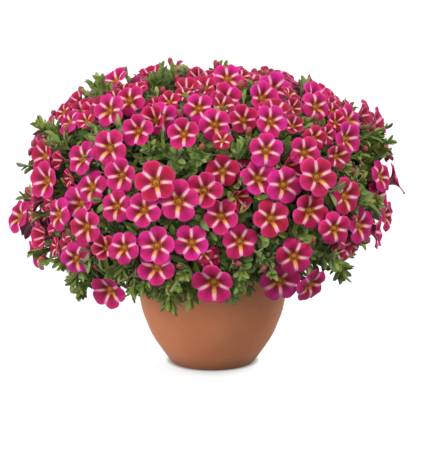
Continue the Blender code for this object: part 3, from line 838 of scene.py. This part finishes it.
class Patterns:
    """The meshes that are copied all over the plant."""

    def __init__(self, draw):
        self.leaves = [leaf_pattern(name, *form) for name, form in LEAF_FORMS.items()]
        self.blooms = [bloom_pattern("bloom", SECTION, STEPS, form, draw) for form in BLOOM_FORMS]
        self.young = [bloom_pattern("funnel", YOUNG_SECTION, YOUNG_STEPS, form, draw) for form in YOUNG_FORMS]
        self.calyx = calyx_pattern()
        self.bud = bud_pattern()
        self.knobs = [knob_pattern(reach) for reach in KNOB_REACHES]


# What the solids hold


def merged(name):
    """The node's mesh with its loose triangles joined."""
    bm = bmesh.new()
    bm.from_mesh(NODES[name].data)
    bmesh.ops.remove_doubles(bm, verts=bm.verts, dist=MERGE)
    return bm


def blooms_of(name):
    """(middle, facing, radius, one arm's direction) of each bloom of a spray, and the spray's knot.

    A bloom is a point of the mesh where fifteen faces meet, with its outline round it.
    """
    bm = merged(name)
    blooms = []
    for vertex in bm.verts:
        if len(vertex.link_faces) != 3 * LOBES:
            continue
        outline = [edge.other_vert(vertex).co for edge in vertex.link_edges]
        middle = sum(outline, Vector()) / len(outline)
        facing = (middle - vertex.co).normalized()
        notches = sorted(outline, key=lambda point: (point - middle).length)[:LOBES]
        radius = max((point - middle).length for point in outline)
        lowest = min(notches, key=lambda point: point.z)
        blooms.append((middle, facing, radius, (lowest - middle).normalized()))
    knot = min((vertex.co.copy() for vertex in bm.verts), key=lambda point: (point - MOUND_MIDDLE).length)
    bm.free()
    return blooms, knot


def foot_of(name):
    """The middle of the stem's foot, in the mix."""
    bm = merged(name)
    low = min(vertex.co.z for vertex in bm.verts)
    ring = [vertex.co.copy() for vertex in bm.verts if vertex.co.z < low + 1e-4]
    bm.free()
    return sum(ring, Vector()) / len(ring)


def nearest_node(names):
    """A function that gives the number of the node whose solid is nearest to a point."""
    points, faces, owners = [], [], []
    for owner, name in enumerate(names):
        start = len(points)
        mesh = NODES[name].data
        points += [vertex.co.copy() for vertex in mesh.vertices]
        for polygon in mesh.polygons:
            faces.append([start + i for i in polygon.vertices])
            owners.append(owner)
    tree = BVHTree.FromPolygons(points, faces)

    def owner_of(point):
        _, _, index, _ = tree.find_nearest(point)
        return owners[index]

    return owner_of


# Stalks


def bend(start, way_out, end, way_in, count):
    """Points of a smooth curve that leaves along one direction and arrives along another."""
    points = []
    for i in range(count + 1):
        share = i / count
        low, high = start.lerp(start + way_out, share), (end - way_in).lerp(end, share)
        points.append(low.lerp(high, share * share * (3 - 2 * share)))
    return points


def add_stalks(bm, stalks, material, resolution=1):
    """Adds round tapering stalks along lists of points, each with its radii at both ends."""
    if not stalks:
        return
    curve = bpy.data.curves.new("stalks", "CURVE")
    curve.dimensions = "3D"
    curve.bevel_depth = 1.0
    curve.bevel_resolution = resolution
    curve.use_fill_caps = True
    for points, (low, high) in stalks:
        spline = curve.splines.new("POLY")
        spline.points.add(len(points) - 1)
        for i, point in enumerate(points):
            spline.points[i].co = (*point, 1)
            spline.points[i].radius = low + (high - low) * i / (len(points) - 1)
    thing = bpy.data.objects.new("stalks", curve)
    bpy.context.scene.collection.objects.link(thing)
    mesh = evaluated_mesh(thing)
    bpy.data.objects.remove(thing)
    bpy.data.curves.remove(curve)
    for polygon in mesh.polygons:
        polygon.material_index = material
        polygon.use_smooth = True
    joined = bmesh.new()
    joined.from_mesh(mesh)
    bmesh.ops.remove_doubles(joined, verts=joined.verts, dist=CLOSE)
    bmesh.ops.recalc_face_normals(joined, faces=joined.faces)
    joined.to_mesh(mesh)
    joined.free()
    bm.from_mesh(mesh)
    bpy.data.meshes.remove(mesh)


# Pot and potting mix


def make_pot():
    bm = bmesh.new()
    lathe(bm, (*POT_OUTSIDE, *POT_RIM, *POT_INSIDE), POT_SIDES)
    shade_smooth(bm)
    pot = new_piece("bowl_pot", bm, [TERRACOTTA], "terracotta", ["pot"])
    drills = bmesh.new()
    for i in range(DRAIN_HOLES):
        turn = math.tau * (i + 0.5) / DRAIN_HOLES
        at = Matrix.Translation((DRAIN_FROM_AXIS * math.cos(turn), DRAIN_FROM_AXIS * math.sin(turn), 0))
        bmesh.ops.create_cone(
            drills, cap_ends=True, segments=DRILL_SIDES, radius1=DRAIN_RADIUS, radius2=DRAIN_RADIUS,
            depth=DRILL_LENGTH, matrix=at,
        )
    cutter = new_piece("drills", drills, [TERRACOTTA])
    boolean = pot.modifiers.new("drains", "BOOLEAN")
    boolean.object = cutter
    boolean.operation = "DIFFERENCE"
    mesh = evaluated_mesh(pot)
    pot.modifiers.clear()
    pot.data = mesh
    bpy.data.objects.remove(cutter)


def make_mix():
    """The mix, with a crumbled surface."""
    bm = bmesh.new()
    surface = [(MIX_EDGE * i / MIX_RINGS, MIX_LEVEL) for i in range(MIX_RINGS + 1)]
    lathe(bm, (*surface, *MIX_BELOW), MIX_SIDES)
    for vertex in bm.verts:
        if vertex.co.z > MIX_LEVEL - 0.001:
            inner = 1 - smooth(0.9, 1.0, math.hypot(vertex.co.x, vertex.co.y) / MIX_EDGE)
            place = vertex.co.copy()
            vertex.co.z += sum(inner * high * noise.noise(place * scale) for high, scale in CRUMBS)
    shade_smooth(bm)
    new_piece("potting_mix_crumb", bm, [PEAT], "potting_mix", ["potting_mix"])


# Planning the blooms


@dataclass
class Bloom:
    """A bloom's middle, the way it faces, its radius, an arm of its star, its spray's number and its tint."""

    middle: Vector
    facing: Vector
    radius: float
    arm: Vector
    owner: int
    tint: float

    def is_young(self):
        return self.radius <= YOUNG_RADIUS

    def height_over(self, other):
        return (self.middle - other.middle).dot(other.facing)

    def square_arm(self):
        """Turns the arm until it is square to the way the bloom faces."""
        self.arm = (self.arm - self.facing * self.arm.dot(self.facing)).normalized()


class Cover:
    """Finds whether a point is over or under a bloom."""

    def __init__(self, blooms):
        self.blooms = blooms
        self.finder = KDTree(len(blooms))
        for i, bloom in enumerate(blooms):
            self.finder.insert(bloom.middle, i)
        self.finder.balance()

    def height(self, point, spare=0.0):
        """The height of the point over the bloom that it is over or under, or None."""
        heights = []
        for _, index, _ in self.finder.find_range(point, COVER_SEARCH):
            bloom = self.blooms[index]
            apart = point - bloom.middle
            height = apart.dot(bloom.facing)
            if (apart - bloom.facing * height).length < bloom.radius * COVER_SHARE + spare:
                heights.append(height)
        return max(heights, default=None)


def slid_along_sight(point, share):
    """The point moved along the line of sight to where its share of the mound is nearest to this one."""

    def cost(step):
        return abs(mound_share(point + BACK * SLIDE_STEP * step) - share) + SLIDE_COST * abs(step)

    return point + BACK * SLIDE_STEP * min(range(-SLIDE_STEPS, SLIDE_STEPS + 1), key=cost)


def draw_to_picture(blooms):
    """Shifts blooms towards their places in the photograph, and keeps them as far out on the mound."""
    targets = [seen_point(pixel) for pixel in BLOOMS_SEEN]
    pairs = []
    for i, target in enumerate(targets):
        for j, bloom in enumerate(blooms):
            pairs.append(((target - bloom.middle).length, i, j))
    met_targets, met_blooms = set(), set()
    for _, i, j in sorted(pairs):
        if i in met_targets or j in met_blooms:
            continue
        met_targets.add(i)
        met_blooms.add(j)
        bloom = blooms[j]
        shift = targets[i] - bloom.middle
        shift -= BACK * shift.dot(BACK)
        shift *= min(1, MOST_SHIFT / max(shift.length, CLOSE))
        bloom.middle = slid_along_sight(bloom.middle + shift, mound_share(bloom.middle))


def crown_share(bloom):
    """1 for a bloom that faces up from the crown, and 0 for one at the side."""
    return smooth(0.5, 0.95, bloom.facing.z)


def settle(bloom):
    """Lets a bloom follow the clumps, and sit lower and be smaller on the crown."""
    bloom.middle = bloom.middle + bloom.facing * clump(bloom.middle)
    high = crown_share(bloom)
    bloom.middle = bloom.middle - UP * (0.006 + 0.005 * smooth(0.0, 0.06, bloom.middle.y)) * high
    bloom.radius *= 1 - 0.12 * high


def turn_outward(bloom, draw):
    """Turns a bloom away from the plant's axis and towards the viewer, each by a little more or less."""
    level = Vector((bloom.middle.x, bloom.middle.y, 0))
    level *= min(level.length / 0.05, 1) / max(level.length, CLOSE)
    to_front = (0.45 + 0.25 * crown_share(bloom)) * smooth(-0.4, 0.1, -bloom.facing.y)
    bloom.facing = bloom.facing + level * 0.6 + jitter(draw) * 0.30 - AWAY * to_front
    bloom.facing.z = max(bloom.facing.z, bloom.facing.z * 0.3)
    bloom.facing.normalize()
    bloom.square_arm()


def lay_over(blooms):
    """Lowers a bloom where it would cut through its neighbour."""
    for i, bloom in enumerate(blooms):
        for other in blooms[:i]:
            if (bloom.middle - other.middle).length > 0.86 * (bloom.radius + other.radius):
                continue
            height = bloom.height_over(other)
            if abs(height) < LAYER:
                bloom.middle = bloom.middle - other.facing * (LAYER + height)
                bloom.facing = (bloom.facing * 0.4 + other.facing * 0.6).normalized()
                bloom.square_arm()


def cut_each_other(one, other):
    """Whether two blooms, taken as discs, cut through each other."""
    apart = other.middle - one.middle
    if apart.length > DISC_SHARE * (one.radius + other.radius):
        return False
    line = one.facing.cross(other.facing)
    if line.length < 0.02:
        return abs(apart.dot(one.facing)) < 0.001
    line.normalize()
    into = line.cross(one.facing)
    foot = one.middle + into * (apart.dot(other.facing) / into.dot(other.facing))
    spans = []
    for bloom in (one, other):
        reach = foot - bloom.middle
        nearest = -reach.dot(line)
        beside = (DISC_SHARE * bloom.radius) ** 2 - (reach + line * nearest).length_squared
        if beside <= 0:
            return False
        spans.append((nearest - math.sqrt(beside), nearest + math.sqrt(beside)))
    return spans[0][0] < spans[1][1] and spans[1][0] < spans[0][1]


def fills_throat(under, over):
    """Whether a bloom, taken as a disc, lies across the open throat of another."""
    slope = over.facing.dot(under.facing)
    if slope < 0.2:
        return False
    depth = over.height_over(under) / slope
    if not -0.05 * over.radius < depth < THROAT_DEPTH * over.radius:
        return False
    crossing = over.middle - over.facing * depth
    return (crossing - under.middle).length < under.radius + 0.25 * over.radius


def meet(one, other):
    return cut_each_other(one, other) or fills_throat(one, other) or fills_throat(other, one)


def lower_first(one, other):
    """The two blooms with the one that has to give way first: a young one, or the lower one."""
    if one.is_young() != other.is_young():
        first = one.is_young()
    elif fills_throat(one, other) != fills_throat(other, one):
        first = fills_throat(one, other)
    else:
        first = one.height_over(other) < other.height_over(one)
    return (one, other) if first else (other, one)


def part_blooms(blooms):
    """Sinks and turns blooms that meet until they are clear, and drops young ones that aren't."""
    for _ in range(PARTING_ROUNDS):
        met = []
        for i, one in enumerate(blooms):
            met += [(one, other) for other in blooms[:i] if meet(one, other)]
        for one, other in met:
            under, over = lower_first(one, other)
            under.middle = under.middle - over.facing * PARTING_STEP
            under.facing = (under.facing * (1 - PARTING_TURN) + over.facing * PARTING_TURN).normalized()
            under.square_arm()
        if not met:
            break
    stuck = [min(pair, key=lambda bloom: bloom.radius) for pair in met]
    return [bloom for bloom in blooms if not (bloom.is_young() and any(bloom is other for other in stuck))]


def lowered(middle, radius, blooms):
    """The middle of a young bloom brought down under the larger ones that it would meet."""
    for other in blooms:
        apart = middle - other.middle
        height = apart.dot(other.facing)
        if apart.length < 0.9 * (radius + other.radius) and -LAYER < height < 0.010:
            middle = middle - other.facing * (height + LAYER)
    return middle


def young_blooms(blooms, draw):
    """Smaller, redder blooms that open in the gaps, a little deeper."""
    owner_of = nearest_node(SPRAY_NAMES)
    young = []
    for site, outward in scattered_sites(YOUNG_SITES, 0.05, draw):
        if outward.z < -0.55 or in_leafy_patch(site, outward) or draw.random() < 0.10:
            continue
        if beside_pot(site, YOUNG_FROM_POT):
            continue
        if any((site - bloom.middle).length < YOUNG_FROM_OLD for bloom in blooms):
            continue
        if any((site - bloom.middle).length < YOUNG_SPACING for bloom in young):
            continue
        planned = site - outward * (draw.uniform(0.003, 0.009) - clump(site))
        level = Vector((site.x, site.y, 0)).normalized()
        to_front = smooth(-0.4, 0.1, -outward.y) * smooth(0.4, 0.9, outward.z)
        facing = outward + level * 0.6 + UP * 0.1 + jitter(draw) * 0.6 - AWAY * 0.6 * to_front
        facing.normalize()
        arm = (facing.cross(RIGHT.cross(facing)) + jitter(draw)).normalized()
        radius = draw.uniform(YOUNG_SMALLEST, YOUNG_RADIUS)
        middle = lowered(planned, radius, blooms)
        if (middle - planned).length <= YOUNG_LOWERED:
            bloom = Bloom(middle, facing, radius, arm, owner_of(site), draw.uniform(0.7, 1.6))
            bloom.square_arm()
            young.append(bloom)
    return young


def plan_blooms(draw):
    """All the blooms, and the knot of each spray, where its stalks start."""
    blooms, knots = [], []
    for owner, name in enumerate(SPRAY_NAMES):
        found, knot = blooms_of(name)
        knots.append(knot)
        for middle, facing, radius, arm in found:
            radius = max(radius * draw.uniform(*BLOOM_SIZES), YOUNG_RADIUS * 1.2)
            tint = draw.random() ** 2 * (0.35 + 0.65 * smooth(0.08, 0.18, middle.z))
            blooms.append(Bloom(middle, facing, radius, arm, owner, tint))
    for bloom in blooms:
        settle(bloom)
    draw_to_picture(blooms)
    for bloom in blooms:
        turn_outward(bloom, draw)
    lay_over(blooms)
    return part_blooms(blooms + young_blooms(blooms, draw)), knots


def plan_buds(cover, draw):
    """(foot, direction, spray, length) of buds in the gaps between the blooms."""
    owner_of = nearest_node(SPRAY_NAMES)
    found = []
    for site, outward in scattered_sites(BUD_SITES, 0.05, draw):
        if outward.z < -0.5 or cover.height(site, 0.001) is not None:
            continue
        if any((site - other[0]).length < BUD_SPACING for other in found):
            continue
        owner = owner_of(site)
        site = site + outward * clump(site)
        way = (outward + UP * 0.35 + jitter(draw) * 0.45).normalized()
        length = draw.uniform(*BUD_LENGTHS)
        foot = site - way * (length - draw.uniform(-0.001, 0.003))
        if all(cover.height(foot + way * length * share, 0.0015) is None for share in (0.3, 0.7, 1.0)):
            found.append((foot, way, owner, length))
    return found


# Flower sprays


def plant_bloom(bm, bloom, patterns, draw):
    """Adds a bloom with its green cup and what is in its throat."""
    across = bloom.facing.cross(bloom.arm)
    turn = Matrix((bloom.arm, across, bloom.facing)).transposed().to_4x4()
    matrix = Matrix.Translation(bloom.middle) @ turn @ Matrix.Scale(bloom.radius, 4)
    plant_copy(bm, draw.choice(patterns.young if bloom.is_young() else patterns.blooms), matrix, bloom.tint)
    foot = bloom.middle - bloom.facing * bloom.radius
    plant_copy(bm, patterns.calyx, frame_of(foot, bloom.facing, bloom.arm, [CALYX_LENGTH] * 3), draw.random())
    for knob, (sideways, deep, wide, high) in zip(patterns.knobs, KNOB_SHAPES):
        at = bloom.middle - (bloom.facing * deep - bloom.arm * sideways) * bloom.radius
        shape = Matrix.Diagonal((*[bloom.radius * wide] * 2, bloom.radius * high, 1))
        plant_copy(bm, knob, Matrix.Translation(at) @ turn @ shape, bloom.tint)
    return foot


def make_sprays(blooms, knots, buds, patterns, draw):
    for owner, name in enumerate(SPRAY_NAMES):
        bm = bmesh.new()
        place_layer(bm)
        stalks = []
        knot = knots[owner]
        for bloom in blooms:
            if bloom.owner == owner:
                foot = plant_bloom(bm, bloom, patterns, draw)
                points = bend(knot, (foot - knot) * 0.4, foot, bloom.facing * 0.008, STALK_STEPS)
                stalks.append((points, BLOOM_STALK))
        for foot, way, bud_owner, size in buds:
            if bud_owner == owner:
                plant_copy(bm, patterns.bud, frame_of(foot, way, UP, [size] * 3), draw.random())
                cup_size = [size * BUD_CALYX_SHARE] * 3
                plant_copy(bm, patterns.calyx, frame_of(foot, way, UP, cup_size), draw.random())
                points = bend(knot, (foot - knot) * 0.4, foot, way * 0.008, STALK_STEPS)
                stalks.append((points, BUD_STALK))
        add_stalks(bm, stalks, IS_STEM)
        new_piece(name.replace("flower_", "") + "_blooms", bm, SPRAY_SKINS, "petals", [name])


# Leafy stems


def shoot_leaves(points, leaf_count, draw):
    """(root, direction, face, length, width) of a shoot's leaves, which spiral round its upper part."""
    turn = draw.uniform(0, math.tau)
    for i in range(leaf_count):
        share = i / (leaf_count - 1)
        along = 0.40 + 0.60 * share
        place = along * (len(points) - 1)
        step = min(int(place), len(points) - 2)
        root = points[step].lerp(points[step + 1], place - step)
        axis = (points[step + 1] - points[step]).normalized()
        side = axis.orthogonal().normalized()
        side.rotate(Matrix.Rotation(turn + LEAF_SPIRAL * i, 3, axis))
        lean = math.radians(78 - 56 * share + draw.uniform(-12, 12))
        direction = axis * math.cos(lean) + side * math.sin(lean)
        length = (0.0168 - 0.0070 * share) * draw.uniform(0.8, 1.15)
        width = length * draw.uniform(0.28, 0.42)
        yield root, direction, axis + jitter(draw) * 0.25, length, width


def shoot_sites(cover, draw):
    """(tip, axis, outward, whether it stands out) of each shoot, lower where a bloom is over it."""
    for site, outward in scattered_sites(SHOOT_SITES, 0.06, draw):
        if beside_pot(site, SHOOT_FROM_POT) or site.x < BARE_LEFT and site.z < BARE_HEIGHT:
            continue
        axis = (outward + UP * 0.22 + jitter(draw) * 0.32).normalized()
        covered = cover.height(site) is not None
        depth = draw.uniform(0.010, 0.016) if covered else draw.uniform(-0.002, 0.008)
        depth += 0.007 * smooth(0.3, 0.8, outward.z) - clump(site)
        depth += 0.012 * smooth(0.1, 0.7, -outward.z) * smooth(0.0, MOUND_RADIUS, site.x)
        yield site - outward * depth, axis, outward, False
    for pixel in LONG_SHOOTS:
        for _ in range(SHOOTS_TO_A_TIP):
            tip = seen_point(pixel) + jitter(draw) * 0.006
            outward = mound_normal(tip)
            yield tip, (outward + UP * 0.15 + jitter(draw) * 0.3).normalized(), outward, True


def pokes_through(root, reach, cover):
    """Whether a leaf would come up through a bloom or stand over one."""
    heights = [cover.height(root + reach * share) for share in (0.1, 0.4, 0.7, 1.0)]
    return any(height is not None and height > UNDER_BLOOM for height in heights)


def add_shoots(meshes, stalks, owner_of, patterns, cover, draw):
    """Leafy shoots over the whole plant, on the stems that they are nearest to."""
    for tip, axis, outward, stands_out in shoot_sites(cover, draw):
        owner = owner_of(tip)
        root = tip - outward * SHOOT_LENGTH + jitter(draw) * 0.004
        points = bend(root, outward * 0.012, tip, axis * 0.014, STALK_STEPS)
        kept = []
        for leaf_root, way, face, length, width in shoot_leaves(points, draw.randint(*LEAVES_ON_SHOOT), draw):
            tint = draw.random()
            pattern = draw.choice(patterns.leaves)
            if not pokes_through(leaf_root, way * length, cover):
                kept.append((pattern, frame_of(leaf_root, way, face, (width, length, length)), tint))
        if stands_out and len(kept) < FEWEST_OUTSIDE:
            continue
        for pattern, matrix, tint in kept:
            plant_copy(meshes[owner], pattern, matrix, tint)
        if len(kept) >= FEWEST_WITH_STALK:
            stalks[owner].append((points, SHOOT_STALK))


def add_inner_leaves(meshes, owner_of, patterns, cover, draw):
    """Leaves deeper in the plant, which fill the gaps between the shoots."""
    for site, outward in scattered_sites(INNER_LEAVES, 0.05, draw):
        if beside_pot(site, INNER_FROM_POT):
            continue
        root = site - outward * draw.uniform(0.022, 0.034)
        way = (outward + jitter(draw) * 1.1).normalized()
        length = draw.uniform(0.013, 0.019)
        matrix = frame_of(root, way, outward + jitter(draw) * 0.6, (length * 0.42, length, length))
        pattern = draw.choice(patterns.leaves)
        tint = draw.random() * 0.5
        if not pokes_through(root, way * length, cover):
            plant_copy(meshes[owner_of(root)], pattern, matrix, tint)


def make_foliage(patterns, cover, draw):
    owner_of = nearest_node(STEM_NAMES)
    meshes = [bmesh.new() for _ in STEM_NAMES]
    stalks = [[] for _ in STEM_NAMES]
    for bm in meshes:
        place_layer(bm)
    add_shoots(meshes, stalks, owner_of, patterns, cover, draw)
    add_inner_leaves(meshes, owner_of, patterns, cover, draw)
    for name, bm, shoots in zip(STEM_NAMES, meshes, stalks):
        low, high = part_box(name)
        heart = (low + high) / 2
        heart.z = max(heart.z, 0.115)
        end = MOUND_MIDDLE.lerp(heart, 0.7)
        stem = bend(foot_of(name), UP * 0.02, end, (heart - MOUND_MIDDLE) * 0.3, STEM_STEPS)
        add_stalks(bm, [(stem, STEM_STALK)], IS_TWIG, 2)
        add_stalks(bm, shoots, IS_TWIG)
        new_piece(name.replace("leafy_stem", "leafy_shoots"), bm, SHOOT_SKINS, "foliage", [name])


def make_heart():
    """The dense heart of twigs that the leaves hide, with painted shade: near-black for the shade between
    them.
    """
    bm = bmesh.new()
    bmesh.ops.create_icosphere(bm, subdivisions=5, radius=1.0)
    for vertex in bm.verts:
        direction = vertex.co.normalized()
        if direction.z < 0:
            direction.z *= 0.3
        out = onto_mound(MOUND_MIDDLE + direction) - MOUND_MIDDLE
        keep = max(out.length - HEART_INSET, out.length * 0.25)
        point = MOUND_MIDDLE + out.normalized() * keep
        if point.z < MOUND_MIDDLE.z:
            point.z = MOUND_MIDDLE.z - (MOUND_MIDDLE.z - point.z) * 0.45
        rough = 0.005 * noise.noise(point * 90) + 0.003 * noise.noise(point * 260)
        vertex.co = point + direction * rough
    bmesh.ops.recalc_face_normals(bm, faces=bm.faces)
    shade_smooth(bm)
    new_piece("inner_twigs", bm, [SHADE_SKIN], "foliage")


# Camera, floor and light


def add_camera():
    across = (PICTURE_MIDDLE[0] - PICTURE_AXIS) * PIXEL
    rise = (PICTURE_GROUND - PICTURE_MIDDLE[1]) * PIXEL - MOUND_MIDDLE.dot(PICTURE_UP)
    data = bpy.data.cameras.new("camera")
    data.sensor_fit = "HORIZONTAL"
    data.sensor_width = SENSOR
    data.lens = SENSOR * VIEW_DISTANCE / (PICTURE_WIDTH * PIXEL)
    data.clip_end = 50
    camera = bpy.data.objects.new("camera", data)
    bpy.context.scene.collection.objects.link(camera)
    camera.location = EYE + RIGHT * across + PICTURE_UP * rise
    camera.rotation_euler = BACK.to_track_quat("-Z", "Y").to_euler()
    bpy.context.scene.camera = camera


def add_light(name, place, aim, size, power):
    data = bpy.data.lights.new(name, "AREA")
    data.shape = "DISK"
    data.size = size
    data.energy = power
    lamp = bpy.data.objects.new(name, data)
    bpy.context.scene.collection.objects.link(lamp)
    lamp.location = place
    lamp.rotation_euler = (Vector(aim) - Vector(place)).to_track_quat("-Z", "Y").to_euler()


def add_studio():
    """A pale floor, a white sky that is darker below, and soft lamps."""
    bm = bmesh.new()
    bmesh.ops.create_grid(bm, x_segments=1, y_segments=1, size=9)
    floor = new_piece("floor", bm, [FLOOR_PAINT])
    floor.visible_diffuse = False
    world = bpy.data.worlds.new("studio")
    world.use_nodes = True
    tree = world.node_tree
    height = node(tree, "SeparateXYZ", {0: node(tree, "TexCoord").outputs["Generated"]}).outputs[2]
    background = tree.nodes["Background"]
    connect((1, 1, 1, 1), background.inputs["Color"])
    connect(fade(height, *SKY_EDGES, *SKY_LIGHT), background.inputs["Strength"])
    bpy.context.scene.world = world
    for lamp in LAMPS:
        add_light(*lamp)
    bpy.context.scene.view_settings.view_transform = "Standard"


def main():
    draw = random.Random(SEED)
    add_camera()
    add_studio()
    patterns = Patterns(draw)
    make_pot()
    make_mix()
    blooms, knots = plan_blooms(draw)
    cover = Cover(blooms)
    buds = plan_buds(cover, draw)
    make_sprays(blooms, knots, buds, patterns, draw)
    make_foliage(patterns, cover, draw)
    make_heart()
    for mesh in [mesh for mesh in bpy.data.meshes if mesh.users == 0]:
        bpy.data.meshes.remove(mesh)


main()
